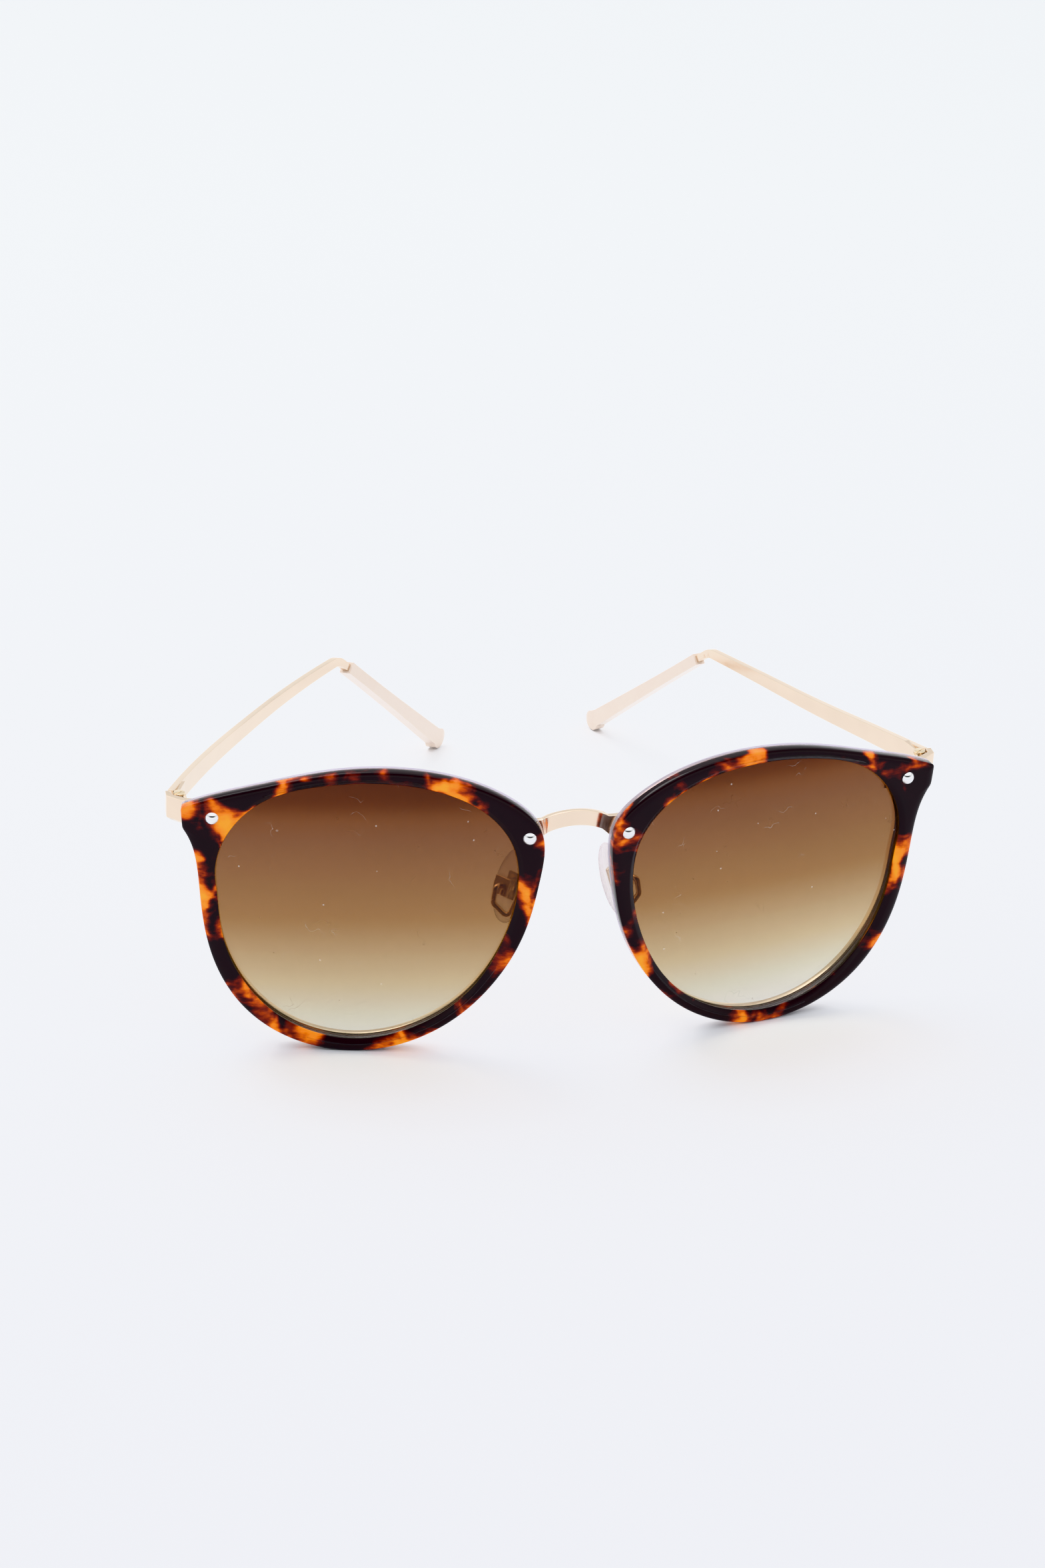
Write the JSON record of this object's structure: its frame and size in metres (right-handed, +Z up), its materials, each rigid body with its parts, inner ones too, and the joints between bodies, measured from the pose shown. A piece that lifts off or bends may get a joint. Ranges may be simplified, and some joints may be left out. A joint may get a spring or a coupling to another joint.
{
  "type": "sunglasses",
  "caption": "Cat eye sunglasses: tortoiseshell rims over a gold metal frame, brown gradient lenses, bent gold temples and clear nose pads.",
  "frame": {"origin": "middle of the bounding box's bottom, on the surface the sunglasses stand on", "axes": "+X to the right seen from the front, lenses face -Y, temples run back along +Y, +Z up"},
  "size_m": [0.1468, 0.138, 0.0587],
  "materials": {
    "tortoiseshell": "polished tortoiseshell acetate",
    "clear_acetate": "polished clear acetate",
    "gold_metal": "polished pale gold plating",
    "tinted_lens": "brown gradient tint",
    "silver_rivet": "polished silver",
    "screw_steel": "plated screw",
    "tip_plastic": "pearl plastic",
    "pad_insert": "plated insert",
    "silicone": "clear silicone"
  },
  "bodies": {
    "front": {"bridge": "gold_metal", "front_rim_left": "tortoiseshell", "rim_backing_left": "clear_acetate", "eyewire_left": "gold_metal", "lens_left": "tinted_lens", "rivet_nasal_left": "silver_rivet", "rivet_outer_left": "silver_rivet", "end_piece_left": "gold_metal", "hinge_front_left": "gold_metal", "hinge_screw_left": "screw_steel", "pad_arm_left": "gold_metal", "pad_box_left": "gold_metal", "pad_screw_left": "screw_steel", "front_rim_right": "tortoiseshell", "rim_backing_right": "clear_acetate", "eyewire_right": "gold_metal", "lens_right": "tinted_lens", "rivet_nasal_right": "silver_rivet", "rivet_outer_right": "silver_rivet", "end_piece_right": "gold_metal", "hinge_front_right": "gold_metal", "hinge_screw_right": "screw_steel", "pad_arm_right": "gold_metal", "pad_box_right": "gold_metal", "pad_screw_right": "screw_steel"},
    "temple_left_body": {"temple_left": "gold_metal", "temple_tip_left": "tip_plastic", "hinge_rear_left": "gold_metal"},
    "pad_left_body": {"nose_pad_left": "silicone", "pad_stem_left": "pad_insert"},
    "temple_right_body": {"temple_right": "gold_metal", "temple_tip_right": "tip_plastic", "hinge_rear_right": "gold_metal"},
    "pad_right_body": {"nose_pad_right": "silicone", "pad_stem_right": "pad_insert"}
  },
  "joints": [
    {"name": "fold_left", "type": "hinge", "parent": "front", "child": "temple_left_body", "pos_m": [-0.0709, -0.04898, 0.0473], "axis": [0, 0, -1], "range_deg": [-24.5, 56.5]},
    {"name": "pad_rock_left", "type": "hinge", "parent": "front", "child": "pad_left_body", "pos_m": [-0.0114, -0.05871, 0.03149], "axis": [0.6157, -0.788, 0], "range_deg": [-6, 6]},
    {"name": "fold_right", "type": "hinge", "parent": "front", "child": "temple_right_body", "pos_m": [0.0709, -0.04898, 0.0473], "axis": [0, 0, 1], "range_deg": [-17, 59]},
    {"name": "pad_rock_right", "type": "hinge", "parent": "front", "child": "pad_right_body", "pos_m": [0.0114, -0.05871, 0.03149], "axis": [0.6157, 0.788, 0], "range_deg": [-6, 6]}
  ]
}
